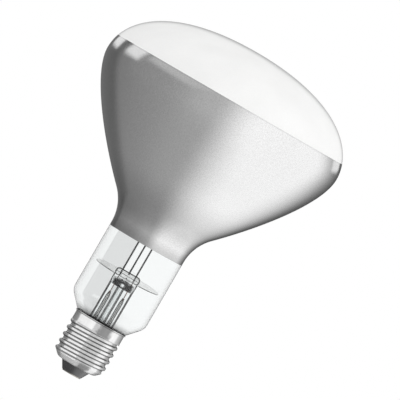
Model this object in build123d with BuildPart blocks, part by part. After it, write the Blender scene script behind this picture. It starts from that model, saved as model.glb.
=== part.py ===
from build123d import *
from math import asin, atan2, cos, degrees, hypot, radians, sin, tan
import os

# Infrared reflector lamp with an Edison screw cap, in millimetres.
# The lamp's axis is +Z with the cap at the bottom. The origin is the middle of the
# contact's lower face, and the flat side of the pinched stem faces -Y.

# Blown glass bulb
bulb_diameter = 125.0
dome_height = 33.2
dome_front_handle = 44.0
dome_edge_handle = 16.4
reflector_height = 70.2
flank_edge_handle = 14.0
flank_throat_handle = 21.5
throat_radius = 22.0
throat_angle = 45.0
neck_diameter = 39.2
neck_length = 43.8
neck_foot_radius = 6.5
shoulder_angle = 42.0
spigot_gap = 0.6
spigot_depth = 9.0
spigot_blend = 1.5
glass_wall = 0.9
bowl_above_throat = 8.0

# Mirror film on the inner wall
film_thickness = 0.12
mirror_above_ring = 7.6
mirror_below_throat = 1.6

# Screw cap, stacked from the contact upwards
contact_diameter = 9.6
contact_thickness = 0.5
eyelet_diameter = 3.4
eyelet_bore = 1.6
eyelet_height = 1.5
insulator_foot_margin = 0.3
insulator_height = 4.0
insulator_dish = 1.6
sheet = 0.35
heel_flat = 0.85
heel_radius = 3.6
thread_crest_diameter = 26.2
thread_depth = 1.05
thread_pitch = 3.629
thread_length = 14.8
thread_crest_width = 0.7
thread_valley_width = 1.6
thread_valley_sag = 0.2
thread_lead_in = 1.9
heel_inset = 0.2
collar_inset = 0.2
collar_step = 0.3
collar_height = 4.4
lip_height = 0.8
lip_flare = 0.55
rim_clearance = 0.15
cement_height = 2.8

# Glass stem with its pinched press
stem_diameter = 12.6
stem_wall = 0.9
stem_height = 27.5
press_width = 12.9
press_thickness = 4.4
press_taper = 6.0
press_flat = 2.6
press_rounding_share = 0.4
press_end_arc = 60.0
cavity_height = 3.0
cavity_roof_width = 9.6
exhaust_diameter = 3.7
exhaust_wall = 0.7
exhaust_tip_length = 3.0
exhaust_tip_below_seal = 5.0
exhaust_clearance = 0.2
exhaust_hole_width = 2.8
exhaust_hole_height = 1.3

# Mica heat disc
mica_thickness = 0.4
mica_tilt = 3.2
mica_edge_gap = 1.9
mica_slot_clearance = 0.15

# Wires and sleeves
lead_diameter = 0.8
seal_wire_diameter = 0.45
outer_lead_diameter = 0.5
support_diameter = 0.8
support_embedding = 1.3
sleeve_diameter = 1.9
sleeve_length = 19.5
sleeve_taper = 2.5
sleeve_tip_diameter = 1.0
sleeve_below_press = 3.5
sleeve_clearance = 0.05
wire_joint_in_sleeve = 1.2
outer_lead_bend = 1.5
tip_lead_drop = 7.0
side_lead_drop = 4.2
tip_lead_end = 0.4
weld_radius = 0.9
weld_height = 5.4

# Filament mount
filament_below_ring = 34.6
filament_radius = 15.0
filament_gap_angle = 20.0
coil_diameter = 1.6
coil_bend = 2.5
lead_tail = 3.5
lead_bend = 1.2
lead_rise = 12.0
anchor_count = 5
anchor_diameter = 0.4
anchor_root = 1.1
anchor_clearance = 0.05
hook_angle = 200.0
bead_diameter = 5.0
bead_below_filament = 8.0

# Heights of the cap's parts
heel_z = contact_thickness + insulator_height
thread_z = heel_z + heel_radius
thread_top_z = thread_z + thread_length
collar_z = thread_top_z + collar_step
lip_z = collar_z + collar_height
rim_z = lip_z + lip_height

# Heights of the bulb and of its mirror
seal_z = rim_z - spigot_depth
throat_z = rim_z + neck_length
ring_z = throat_z + reflector_height
front_z = ring_z + dome_height
mirror_top_z = ring_z + mirror_above_ring
mirror_bottom_z = throat_z - mirror_below_throat
bowl_z = throat_z + bowl_above_throat

# Heights of the stem and of its wires
press_foot_z = seal_z + stem_height
press_flat_z = press_foot_z + press_taper
press_top_z = press_flat_z + press_flat
cavity_top_z = press_foot_z + cavity_height
sleeve_top_z = press_foot_z - sleeve_below_press
wire_joint_z = sleeve_top_z - wire_joint_in_sleeve
exhaust_tip_z = seal_z - exhaust_tip_below_seal
filament_z = ring_z - filament_below_ring
bead_z = filament_z - bead_below_filament

# Radii that several pieces share
thread_root_diameter = thread_crest_diameter - 2 * thread_depth
heel_r = thread_root_diameter / 2 - heel_inset
heel_opening = 2 * (heel_r - heel_radius - heel_flat)
shell_bore = heel_r - sheet
crest_radius = thread_crest_diameter / 2
collar_radius = crest_radius - collar_inset
spigot_diameter = 2 * (shell_bore - spigot_gap)
insulator_foot_diameter = contact_diameter + 2 * insulator_foot_margin
stem_bore = stem_diameter / 2 - stem_wall
lead_offset = (stem_bore + exhaust_diameter / 2) / 2

os.makedirs("parts", exist_ok=True)


def finish(builder, name):
    """Label a piece and write it to its own file."""
    builder.part.label = name
    export_step(builder.part, f"parts/{name}.step")


def bulb_skin(depth):
    """Draw half of the bulb's outline, from the spigot to the front, at a depth in the glass."""
    slope = radians(shoulder_angle)
    spigot_r = spigot_diameter / 2 - depth
    neck_r = neck_diameter / 2 - depth
    ring_r = bulb_diameter / 2 - depth
    mouth_r = collar_radius + lip_flare - sheet - rim_clearance - depth / cos(slope)
    cone_start_z = rim_z - (mouth_r - spigot_r) / tan(slope)
    cone_end_z = rim_z + (neck_r - mouth_r) / tan(slope)
    FilletPolyline(
        (spigot_r, seal_z),
        (spigot_r, cone_start_z),
        (neck_r, cone_end_z),
        (neck_r, throat_z),
        radius=[spigot_blend + depth, neck_foot_radius - depth],
    )
    throat = CenterArc(
        (neck_diameter / 2 + throat_radius, throat_z), throat_radius + depth, 180, -throat_angle
    )
    Bezier(
        throat @ 1,
        throat @ 1 + (throat % 1) * flank_throat_handle,
        (ring_r, ring_z - flank_edge_handle),
        (ring_r, ring_z),
    )
    Bezier(
        (ring_r, ring_z),
        (ring_r, ring_z + dome_edge_handle),
        (dome_front_handle, front_z - depth),
        (0, front_z - depth),
    )


def bulb_layer(outer_depth, inner_depth):
    """Draw the closed half section of a layer of the bulb's wall."""
    bulb_skin(outer_depth)
    bulb_skin(inner_depth)
    Line((0, front_z - outer_depth), (0, front_z - inner_depth))
    Line((spigot_diameter / 2 - outer_depth, seal_z), (spigot_diameter / 2 - inner_depth, seal_z))


def quartered_circle(radius):
    """Draw a circle as four arcs, which a slot's two sides and two ends can be lofted to."""
    half_end = press_end_arc / 2
    side_arc = 180 - press_end_arc
    CenterArc((0, 0), radius, half_end, side_arc)
    CenterArc((0, 0), radius, 180 - half_end, press_end_arc)
    CenterArc((0, 0), radius, 180 + half_end, side_arc)
    CenterArc((0, 0), radius, 360 - half_end, press_end_arc)


def wire_along(path, diameter):
    """Sweep a round wire along a path in the part being built."""
    with BuildSketch(Plane(origin=path @ 0, z_dir=path % 0)) as section:
        Circle(diameter / 2)
    sweep(section.sketch, path=path)


def groove_outline(z):
    """Draw the section that cuts the valley of the screw thread, at a height on its axis."""
    root_r = thread_root_diameter / 2
    flank_foot = thread_valley_width / 2
    flank_r = root_r + thread_valley_sag
    flank_run = (thread_pitch - thread_crest_width - thread_valley_width) / 2
    outside_r = 2 * crest_radius - flank_r
    flank_top = flank_foot + 2 * flank_run
    ThreePointArc((flank_r, z - flank_foot), (root_r, z), (flank_r, z + flank_foot))
    Polyline(
        (flank_r, z + flank_foot),
        (outside_r, z + flank_top),
        (outside_r, z - flank_top),
        (flank_r, z - flank_foot),
    )


# Glass bulb, fused from three bands: the clear neck with the spigot inside the cap,
# the bowl that carries the mirror, and the frosted dome above the mirror's edge
glass_bands = []
for name, low_z, high_z in (
    ("glass_neck", 0, bowl_z),
    ("glass_bowl", bowl_z, mirror_top_z),
    ("glass_dome", mirror_top_z, front_z + glass_wall),
):
    with BuildPart() as glass_band:
        with BuildSketch(Plane.XZ):
            with BuildLine():
                bulb_layer(0, glass_wall)
            make_face()
            with Locations((0, low_z)):
                Rectangle(
                    bulb_diameter,
                    high_z - low_z,
                    align=(Align.MIN, Align.MIN),
                    mode=Mode.INTERSECT,
                )
        revolve(axis=Axis.Z)
    finish(glass_band, name)
    glass_bands.append(glass_band.part)

# Reflector coating: a mirror film on the inner wall, from below the throat to above the widest ring
with BuildPart() as reflector_coating:
    with BuildSketch(Plane.XZ):
        with BuildLine():
            bulb_layer(glass_wall, glass_wall + film_thickness)
        make_face()
        with Locations((0, mirror_bottom_z)):
            Rectangle(
                bulb_diameter / 2,
                mirror_top_z - mirror_bottom_z,
                align=(Align.MIN, Align.MIN),
                mode=Mode.INTERSECT,
            )
    revolve(axis=Axis.Z)
finish(reflector_coating, "reflector_coating")

# Inner leads: from the press up to the two ends of the filament
span_angle = (360 - 2 * filament_gap_angle) / (anchor_count + 1)
corner_angles = [filament_gap_angle - 90 + span_angle * n for n in range(anchor_count + 2)]
coil_corners = [
    Vector(filament_radius * cos(radians(a)), filament_radius * sin(radians(a)), filament_z)
    for a in corner_angles
]
first_span = (coil_corners[1] - coil_corners[0]).normalized()
right_end = coil_corners[0]
right_tail = right_end - first_span * lead_tail

inner_leads = []
for name, side in (("inner_lead_left", -1), ("inner_lead_right", 1)):
    with BuildPart() as inner_lead:
        with BuildLine() as lead_path:
            FilletPolyline(
                (side * lead_offset, 0, press_flat_z),
                (side * lead_offset, 0, filament_z - lead_rise),
                (side * right_tail.X, right_tail.Y, filament_z),
                (side * right_end.X, right_end.Y, filament_z),
                radius=lead_bend,
            )
        wire_along(lead_path.wire(), lead_diameter)
    finish(inner_lead, name)
    inner_leads.append(inner_lead.part)

# Seal wires: thin wires through the press, each in line with its inner lead
seal_wires = []
for name, side in (("seal_wire_left", -1), ("seal_wire_right", 1)):
    with BuildPart() as seal_wire:
        with BuildSketch(Plane.XY.offset(wire_joint_z)):
            with Locations((side * lead_offset, 0)):
                Circle(seal_wire_diameter / 2)
        extrude(amount=press_flat_z - wire_joint_z)
    finish(seal_wire, name)
    seal_wires.append(seal_wire.part)

# Centre support: the wire that carries the bead, set in the top of the press
with BuildPart() as centre_support:
    with BuildSketch(Plane.XY.offset(press_top_z - support_embedding)):
        Circle(support_diameter / 2)
    extrude(amount=bead_z - anchor_root - press_top_z + support_embedding)
finish(centre_support, "centre_support")

# Glass stem: flare sealed to the spigot, tube, and the press pinched around the wires
with BuildPart() as glass_stem:
    with BuildSketch(Plane.XZ):
        with BuildLine():
            flare_r = spigot_diameter / 2 - glass_wall - stem_diameter / 2
            flare_z = seal_z + flare_r
            outer_flare = CenterArc((stem_diameter / 2 + flare_r, flare_z), flare_r, 180, 90)
            inner_flare = CenterArc((stem_diameter / 2 + flare_r, flare_z), flare_r + stem_wall, 180, 90)
            Polyline(
                outer_flare @ 0,
                (stem_diameter / 2, press_foot_z),
                (stem_bore, press_foot_z),
                inner_flare @ 0,
            )
            Polyline(
                outer_flare @ 1,
                (spigot_diameter / 2, seal_z),
                (spigot_diameter / 2, seal_z - stem_wall),
                inner_flare @ 1,
            )
        make_face()
    revolve(axis=Axis.Z)
    with BuildSketch(Plane.XY.offset(press_foot_z)):
        with BuildLine():
            quartered_circle(stem_diameter / 2)
        make_face()
    with BuildSketch(Plane.XY.offset(press_flat_z)):
        SlotOverall(press_width, press_thickness)
    loft()
    with BuildSketch(Plane.XY.offset(press_flat_z)):
        SlotOverall(press_width, press_thickness)
    extrude(amount=press_flat)
    fillet(glass_stem.faces().sort_by(Axis.Z)[-1].edges(), press_thickness * press_rounding_share)
    with BuildSketch(Plane.XY.offset(press_foot_z)):
        with BuildLine():
            quartered_circle(stem_bore)
        make_face()
    with BuildSketch(Plane.XY.offset(cavity_top_z)):
        SlotOverall(cavity_roof_width, exhaust_diameter + 2 * exhaust_clearance)
    loft(mode=Mode.SUBTRACT)
    with BuildSketch(Plane.XZ):
        with Locations((0, cavity_top_z - exhaust_hole_height)):
            SlotOverall(exhaust_hole_width, exhaust_hole_height)
    extrude(amount=stem_diameter / 2, mode=Mode.SUBTRACT)
    add(inner_leads + seal_wires + [centre_support.part], mode=Mode.SUBTRACT)
finish(glass_stem, "glass_stem")

# Exhaust tube: hangs from the roof of the press, drawn off to a closed tip inside the cap
with BuildPart() as exhaust_tube:
    with BuildSketch(Plane.XZ):
        with BuildLine():
            outer_r = exhaust_diameter / 2
            inner_r = outer_r - exhaust_wall
            neck_z = exhaust_tip_z + exhaust_tip_length
            Bezier(
                (0, exhaust_tip_z),
                (inner_r, exhaust_tip_z),
                (outer_r, neck_z - inner_r),
                (outer_r, neck_z),
            )
            Polyline((outer_r, neck_z), (outer_r, cavity_top_z), (inner_r, cavity_top_z), (inner_r, neck_z))
            bore_end_z = exhaust_tip_z + 2 * exhaust_wall
            Bezier((inner_r, neck_z), (inner_r, bore_end_z), (0, bore_end_z))
            Line((0, bore_end_z), (0, exhaust_tip_z))
        make_face()
    revolve(axis=Axis.Z)
    with BuildSketch(Plane.XZ):
        with Locations((0, cavity_top_z - exhaust_hole_height)):
            SlotOverall(exhaust_hole_width, exhaust_hole_height)
    extrude(amount=exhaust_diameter / 2, mode=Mode.SUBTRACT)
finish(exhaust_tube, "exhaust_tube")

# Mica disc: a heat shield slotted over the press, resting a little tilted on its shoulders
slot_half_depth = press_thickness / 2 + mica_slot_clearance
mica_z = press_flat_z + mica_thickness / 2 + slot_half_depth * tan(radians(mica_tilt))
mica_plane = Plane(
    origin=(0, 0, mica_z), x_dir=(1, 0, 0), z_dir=(0, -sin(radians(mica_tilt)), cos(radians(mica_tilt)))
)
with BuildPart() as mica_disc:
    with BuildSketch(mica_plane):
        Circle(neck_diameter / 2 - glass_wall - mica_edge_gap)
        SlotOverall(
            press_width + 2 * mica_slot_clearance,
            press_thickness + 2 * mica_slot_clearance,
            mode=Mode.SUBTRACT,
        )
    extrude(amount=mica_thickness / 2, both=True)
finish(mica_disc, "mica_disc")

# Outer leads: one runs to the contact, the other to the wall of the cap
insulator_top_z = thread_z + insulator_dish
with BuildPart() as outer_lead_tip:
    with BuildLine() as tip_path:
        FilletPolyline(
            (-lead_offset, 0, wire_joint_z),
            (-lead_offset, 0, seal_z - tip_lead_drop),
            (0, 0, insulator_top_z),
            (0, 0, tip_lead_end),
            radius=outer_lead_bend,
        )
    wire_along(tip_path.wire(), outer_lead_diameter)
finish(outer_lead_tip, "outer_lead_tip")

weld_z = thread_z + weld_height
with BuildPart() as outer_lead_side:
    with BuildLine() as side_path:
        FilletPolyline(
            (lead_offset, 0, wire_joint_z),
            (lead_offset, 0, seal_z - side_lead_drop),
            (shell_bore, 0, weld_z),
            radius=outer_lead_bend,
        )
    wire_along(side_path.wire(), outer_lead_diameter)
    with BuildSketch(Plane.XY.offset(thread_z)):
        Circle(shell_bore)
    extrude(amount=front_z, mode=Mode.INTERSECT)
finish(outer_lead_side, "outer_lead_side")

# Side weld: the bead of metal that joins the side lead to the cap
with BuildPart() as side_weld:
    with Locations((shell_bore, 0, weld_z)):
        Sphere(weld_radius)
    with BuildSketch(Plane.XY.offset(weld_z - weld_radius)):
        Circle(shell_bore)
    extrude(amount=2 * weld_radius, mode=Mode.INTERSECT)
    add(outer_lead_side.part, mode=Mode.SUBTRACT)
finish(side_weld, "side_weld")

# Lead sleeves: glass tubes drawn down to the wire at the top
for name, side in (("lead_sleeve_left", -1), ("lead_sleeve_right", 1)):
    with BuildPart() as lead_sleeve:
        sleeve_plane = Plane(origin=(side * lead_offset, 0, 0), x_dir=(1, 0, 0), z_dir=(0, -1, 0))
        with BuildSketch(sleeve_plane):
            with BuildLine():
                bore_r = outer_lead_diameter / 2 + sleeve_clearance
                Polyline(
                    (bore_r, sleeve_top_z - sleeve_length),
                    (sleeve_diameter / 2, sleeve_top_z - sleeve_length),
                    (sleeve_diameter / 2, sleeve_top_z - sleeve_taper),
                    (sleeve_tip_diameter / 2, sleeve_top_z),
                    (bore_r, sleeve_top_z),
                    close=True,
                )
            make_face()
        revolve(axis=Axis((side * lead_offset, 0, 0), (0, 0, 1)))
    finish(lead_sleeve, name)

# Filament: the outer form of the coil, straight between the anchors that carry it
with BuildPart() as filament:
    with BuildLine() as coil_path:
        FilletPolyline(*coil_corners, radius=coil_bend)
    wire_along(coil_path.wire(), coil_diameter)
finish(filament, "filament")

# Anchors: thin wires from the bead, each hooked round the coil at one of its bends
coil_turn = radians(span_angle) / 2
hook_centre_r = filament_radius - coil_bend * (1 / cos(coil_turn) - 1)
hook_radius = (coil_diameter + anchor_diameter) / 2 + anchor_clearance
reach = hypot(hook_centre_r - anchor_root, bead_below_filament)
climb = atan2(bead_below_filament, hook_centre_r - anchor_root) - asin(hook_radius / reach)
shank = (reach**2 - hook_radius**2) ** 0.5

anchors = []
for index, angle in enumerate(corner_angles[1:-1], start=1):
    radial = Vector(cos(radians(angle)), sin(radians(angle)), 0)
    radial_plane = Plane(origin=(0, 0, 0), x_dir=radial, z_dir=radial.cross(Vector(0, 0, 1)))
    with BuildPart() as anchor:
        with BuildLine(radial_plane) as anchor_path:
            PolarLine((anchor_root, bead_z), shank, degrees(climb))
            JernArc(
                (anchor_root + shank * cos(climb), bead_z + shank * sin(climb)),
                (cos(climb), sin(climb)),
                hook_radius,
                hook_angle,
            )
        wire_along(anchor_path.wire(), anchor_diameter)
    finish(anchor, f"anchor_{index}")
    anchors.append(anchor.part)

# Glass bead: melted round the ends of the anchors on top of the support
with BuildPart() as glass_bead:
    with Locations((0, 0, bead_z)):
        Sphere(bead_diameter / 2)
    add(anchors + [centre_support.part], mode=Mode.SUBTRACT)
finish(glass_bead, "glass_bead")

# Cap shell: a sheet cup with its heel, screw thread, plain collar and flared lip
heel_centre = (heel_r - heel_radius, thread_z)
groove_start_z = thread_z - thread_pitch / 2
groove_turns = int(thread_length / thread_pitch)
run_out_z = groove_start_z + groove_turns * thread_pitch
run_out_angle = degrees(atan2(crest_radius - thread_root_diameter / 2, thread_pitch / 2))
with BuildPart() as cap_shell:
    with BuildSketch(Plane.XZ):
        with BuildLine():
            outer_heel = CenterArc(heel_centre, heel_radius, 270, 90)
            inner_heel = CenterArc(heel_centre, heel_radius - sheet, 270, 90)
            Polyline(
                outer_heel @ 1,
                (crest_radius, thread_z + thread_lead_in),
                (crest_radius, thread_top_z),
                (collar_radius, collar_z),
                (collar_radius, lip_z),
                (collar_radius + lip_flare, rim_z),
                (collar_radius + lip_flare - sheet, rim_z),
                (collar_radius - sheet, lip_z),
                (collar_radius - sheet, thread_top_z),
                (shell_bore, thread_top_z),
                inner_heel @ 1,
            )
            Polyline(
                outer_heel @ 0,
                (heel_opening / 2, heel_z),
                (heel_opening / 2, heel_z + sheet),
                inner_heel @ 0,
            )
        make_face()
    revolve(axis=Axis.Z)
    for turn in range(groove_turns):
        turn_z = groove_start_z + turn * thread_pitch
        with BuildLine():
            turn_path = Helix(thread_pitch, thread_pitch, thread_root_diameter / 2, (0, 0, turn_z))
        with BuildSketch(Plane.XZ):
            with BuildLine():
                groove_outline(turn_z)
            make_face()
        sweep(path=turn_path, is_frenet=True, mode=Mode.SUBTRACT)
    with BuildLine():
        run_out = Helix(
            thread_pitch,
            thread_pitch / 2,
            thread_root_diameter / 2,
            (0, 0, run_out_z),
            cone_angle=run_out_angle,
        )
    with BuildSketch(Plane.XZ):
        with BuildLine():
            groove_outline(run_out_z)
        make_face()
    sweep(path=run_out, is_frenet=True, mode=Mode.SUBTRACT)
finish(cap_shell, "cap_shell")

# Cap insulator: dark glass cast into the heel, with an eyelet seat and a hole for the lead
with BuildPart() as cap_insulator:
    with BuildSketch(Plane.XZ):
        with BuildLine():
            heel_seat = CenterArc(heel_centre, heel_radius - sheet, 270, 90)
            Polyline(
                heel_seat @ 0,
                (heel_opening / 2, heel_z + sheet),
                (heel_opening / 2, heel_z),
                (insulator_foot_diameter / 2, contact_thickness),
                (eyelet_diameter / 2, contact_thickness),
                (eyelet_diameter / 2, contact_thickness + eyelet_height),
                (eyelet_bore / 2, contact_thickness + eyelet_height),
                (eyelet_bore / 2, thread_z),
                (shell_bore, insulator_top_z),
                heel_seat @ 1,
            )
        make_face()
    revolve(axis=Axis.Z)
finish(cap_insulator, "cap_insulator")

# Centre contact: a disc with an eyelet that the lead comes through
with BuildPart() as centre_contact:
    with BuildSketch(Plane.XY):
        Circle(contact_diameter / 2)
    extrude(amount=contact_thickness)
    with BuildSketch(Plane.XY.offset(contact_thickness)):
        Circle(eyelet_diameter / 2)
    extrude(amount=eyelet_height)
    with BuildSketch(Plane.XY):
        Circle(eyelet_bore / 2)
    extrude(amount=contact_thickness + eyelet_height, mode=Mode.SUBTRACT)
finish(centre_contact, "centre_contact")

# Tip solder: fills the eyelet round the end of the lead, flush with the contact
with BuildPart() as tip_solder:
    with BuildSketch(Plane.XY):
        Circle(eyelet_bore / 2)
    extrude(amount=contact_thickness + eyelet_height)
    add(outer_lead_tip.part, mode=Mode.SUBTRACT)
finish(tip_solder, "tip_solder")

# Cap cement: the ring that bonds the glass spigot into the collar
with BuildPart() as cap_cement:
    with BuildSketch(Plane.XY.offset(thread_top_z)):
        Circle(collar_radius - sheet)
        Circle(spigot_diameter / 2, mode=Mode.SUBTRACT)
    extrude(amount=cement_height)
    add(glass_bands[0], mode=Mode.SUBTRACT)
finish(cap_cement, "cap_cement")
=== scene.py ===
from math import cos, hypot, pi, radians, sin, tan

import bmesh
import bpy
from mathutils import Matrix, Vector
from mathutils.geometry import interpolate_bezier


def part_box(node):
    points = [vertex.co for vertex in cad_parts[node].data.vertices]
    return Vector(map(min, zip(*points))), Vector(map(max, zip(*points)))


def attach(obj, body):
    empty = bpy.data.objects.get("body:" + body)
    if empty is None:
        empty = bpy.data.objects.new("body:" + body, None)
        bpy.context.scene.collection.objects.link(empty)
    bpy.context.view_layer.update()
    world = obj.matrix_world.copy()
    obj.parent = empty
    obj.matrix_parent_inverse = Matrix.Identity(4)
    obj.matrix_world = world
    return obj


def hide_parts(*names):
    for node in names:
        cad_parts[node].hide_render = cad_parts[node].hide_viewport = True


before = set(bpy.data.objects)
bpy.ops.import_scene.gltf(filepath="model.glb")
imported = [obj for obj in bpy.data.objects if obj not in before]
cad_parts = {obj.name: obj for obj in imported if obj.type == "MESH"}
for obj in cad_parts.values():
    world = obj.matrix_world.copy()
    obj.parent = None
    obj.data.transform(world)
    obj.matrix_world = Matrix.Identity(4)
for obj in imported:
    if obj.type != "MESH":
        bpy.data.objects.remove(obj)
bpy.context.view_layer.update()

bl_info = {
    "name": "Reflector Lamp",
    "version": (1, 0, 0),
    "blender": (4, 5, 0),
    "location": "View3D > Sidebar > Lamp",
    "description": "Dresses a glass reflector lamp with a screw cap and sets it on a small studio stage",
    "category": "Object",
}

MM = 0.001
SHARP_ANGLE = radians(35.0)
MERGE_DISTANCE = 1e-7
BLACK = (0.0, 0.0, 0.0)
LOW, HIGH = 0, 1


def level(node, end):
    """Height of the low or high end of a solid, in millimetres."""
    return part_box(node)[end][2] / MM


def length(name, description, millimetres):
    """A length property, given in millimetres and kept in metres."""
    return bpy.props.FloatProperty(
        name=name,
        description=description,
        default=millimetres * MM,
        min=0.0,
        unit="LENGTH",
        subtype="DISTANCE",
        precision=5,
    )


def angle(name, description, degrees):
    """An angle property, given in degrees and kept in radians."""
    return bpy.props.FloatProperty(
        name=name, description=description, default=radians(degrees), subtype="ANGLE"
    )


def number(name, description, default):
    """A property that counts things."""
    return bpy.props.IntProperty(name=name, description=description, default=default, min=1)


def tint(name, description, red, green, blue):
    """A colour property in linear light."""
    return bpy.props.FloatVectorProperty(
        name=name,
        description=description,
        default=(red, green, blue),
        min=0.0,
        max=1.0,
        size=3,
        subtype="COLOR",
    )


class LampGlassSettings(bpy.types.PropertyGroup):
    """Outline of the blown bulb."""

    diameter: length("Diameter", "Widest ring of the bulb", 125.0)
    front_z: length("Front height", "Height of the front of the dome", level("glass_dome", HIGH))
    ring_z: length("Ring height", "Height of the widest ring", 142.4)
    throat_z: length("Throat height", "Height at which the neck starts to flare", 72.2)
    rim_z: length("Cap rim height", "Height of the cap's upper rim", level("cap_shell", HIGH))
    seal_z: length("Seal height", "Height of the spigot's lower end", level("glass_neck", LOW))
    neck_diameter: length("Neck diameter", "Outside of the clear neck", 39.2)
    spigot_diameter: length("Spigot diameter", "Outside of the spigot in the cap", 21.8)
    mouth_diameter: length("Mouth diameter", "Shoulder's width at the cap's rim", 25.9)
    wall: length("Wall", "Thickness of the glass", 0.9)
    throat_radius: length("Throat radius", "Round between the neck and the flank", 22.0)
    foot_radius: length("Neck foot radius", "Round between the shoulder and the neck", 6.5)
    spigot_blend: length("Spigot blend", "Round between the spigot and the shoulder", 1.5)
    flank_throat_handle: length("Flank lower handle", "Pull of the flank at the throat", 21.5)
    flank_edge_handle: length("Flank upper handle", "Pull of the flank at the ring", 14.0)
    dome_edge_handle: length("Dome edge handle", "Pull of the dome at the ring", 16.4)
    dome_front_handle: length("Dome front handle", "Pull of the dome at the front", 44.0)
    mirror_top_z: length("Mirror top", "Upper edge of the silvering", level("glass_bowl", HIGH))
    mirror_bottom_z: length("Mirror bottom", "Lower edge of the silvering", level("reflector_coating", LOW))
    seam: length("Seam", "Gap between the clear glass and the silvered glass", 0.02)
    throat_angle: angle("Throat angle", "Turn of the wall from the neck to the flank", 45.0)
    shoulder_angle: angle("Shoulder angle", "Slope of the shoulder from the lamp's axis", 42.0)
    steps: number("Steps round", "Divisions of the bulb round its axis", 160)


class LampCapSettings(bpy.types.PropertyGroup):
    """Sizes of the screw cap."""

    opening: length("Heel opening", "Opening in the heel for the insulator", 14.8)
    heel_z: length("Heel height", "Height of the heel's flat", level("cap_shell", LOW))
    heel_radius: length("Heel radius", "Round of the heel", 3.6)
    root_diameter: length("Root diameter", "Floor of the thread", 24.1)
    crest_diameter: length("Crest diameter", "Outside of the thread", 26.2)
    heel_inset: length("Heel inset", "How far the heel lies inside the thread's root", 0.2)
    thread_z: length("Thread height", "Height at which the thread starts", 8.1)
    thread_top_z: length("Thread top", "Height at which the thread ends", 22.9)
    thread_pitch: length("Pitch", "Rise of the thread in one turn", 3.629)
    crest_land: length("Crest land", "Width of the rounded crest", 0.7)
    valley: length("Valley", "Width of the thread's floor", 0.9)
    collar_z: length("Collar height", "Height at which the plain collar starts", 23.2)
    collar_inset: length("Collar inset", "How far the collar lies inside the crest", 0.2)
    lip_z: length("Lip height", "Height at which the lip starts to flare", 27.6)
    rim_z: length("Rim height", "Height of the upper rim", level("cap_shell", HIGH))
    lip_flare: length("Lip flare", "How far the lip stands out from the collar", 0.55)
    sheet: length("Sheet", "Thickness of the cap's metal", 0.35)
    turns: bpy.props.FloatProperty(
        name="Turns",
        description="Full turns of the thread, before half a turn of run-out",
        default=4.5,
        min=1.0,
    )
    steps: number("Steps round", "Divisions of the cap round its axis", 192)


class LampStemSettings(bpy.types.PropertyGroup):
    """Marks of the glass stem that its finish follows."""

    radius: length("Radius", "Outside of the stem's tube", 6.3)
    skin: length("Skin", "Depth of the tube's outer skin", 0.6)
    foot_z: length("Press foot", "Height at which the tube is pinched into the press", 46.9)
    hole_z: length("Hole height", "Height of the blown hole in the press", 48.6)
    hole_width: length("Hole width", "Width of the blown hole", 3.4)
    hole_height: length("Hole size", "Height of the hole from edge to edge", 1.6)
    # The band settings place painted shade on the foot of the press.
    band_rise: length("Band start", "Height over which the dark pinched glass starts", 0.7)
    band_top: length("Band top", "Height of the dark glass above the press foot", 3.1)
    band_end: length("Band end", "Height above the press foot at which the glass is clear again", 4.3)
    band_core: length("Band core", "Half the width over which the pinched glass is darkest", 4.2)
    band_reach: length("Band reach", "Half the width at which the pinched glass is palest", 5.6)
    thin_ior: bpy.props.FloatProperty(
        name="Thin glass IOR",
        description="Index of refraction of thin walls, which hardly bend what is seen through them",
        default=1.15,
        min=1.0,
    )


class LampCoilSettings(bpy.types.PropertyGroup):
    """Sizes of the filament's coil."""

    ring_radius: length("Ring radius", "Radius of the anchors' ring", 15.0)
    height: length("Height", "Height of the filament on the lamp", 107.8)
    bend: length("Bend", "Round of the coil at an anchor", 2.5)
    diameter: length("Coil diameter", "Outside of the coil", 1.6)
    wire: length("Wire", "Diameter of the coiled wire", 0.24)
    pitch: length("Pitch", "Rise of the coil in one turn", 0.42)
    gap: angle("Gap", "Half the angle left open between the two leads", 20.0)
    anchors: number("Anchors", "Anchors that carry the coil", 5)
    steps: number("Steps", "Divisions of one turn of the coil", 14)
    sides: number("Sides", "Sides of the coiled wire", 6)


class LampFinishSettings(bpy.types.PropertyGroup):
    """Colours of the lamp's finishes."""

    frost: tint("Frost", "Frosted glass of the dome", 0.955, 0.955, 0.95)
    silver: tint("Silver", "Silvering behind the glass", 0.90, 0.90, 0.90)
    clear: tint("Clear glass", "Clear glass of the neck and the stem", 0.97, 0.98, 0.98)
    cap_metal: tint("Cap metal", "Bright metal of the screw cap", 0.93, 0.93, 0.93)
    cap_glass: tint("Cap glass", "Dark glass of the insulator", 0.020, 0.020, 0.022)
    contact: tint("Contact", "Metal of the centre contact", 0.48, 0.46, 0.42)
    solder: tint("Solder", "Dull grey solder", 0.42, 0.42, 0.43)
    lead: tint("Lead wire", "Oxidised nickel of the leads", 0.014, 0.014, 0.015)
    copper: tint("Copper wire", "Copper-clad wire in the seal", 0.16, 0.07, 0.045)
    plated: tint("Plated wire", "Plated copper of the outer leads", 0.78, 0.72, 0.66)
    anchor: tint("Anchor wire", "Anchors of the coil", 0.16, 0.16, 0.165)
    tungsten: tint("Tungsten", "Filament coil", 0.06, 0.06, 0.065)
    mica: tint("Mica", "Mica heat disc", 0.60, 0.60, 0.59)
    cement: tint("Cement", "Cement in the collar", 0.45, 0.41, 0.34)
    floor: tint("Floor", "Pale floor of the stage", 0.82, 0.82, 0.82)


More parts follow.
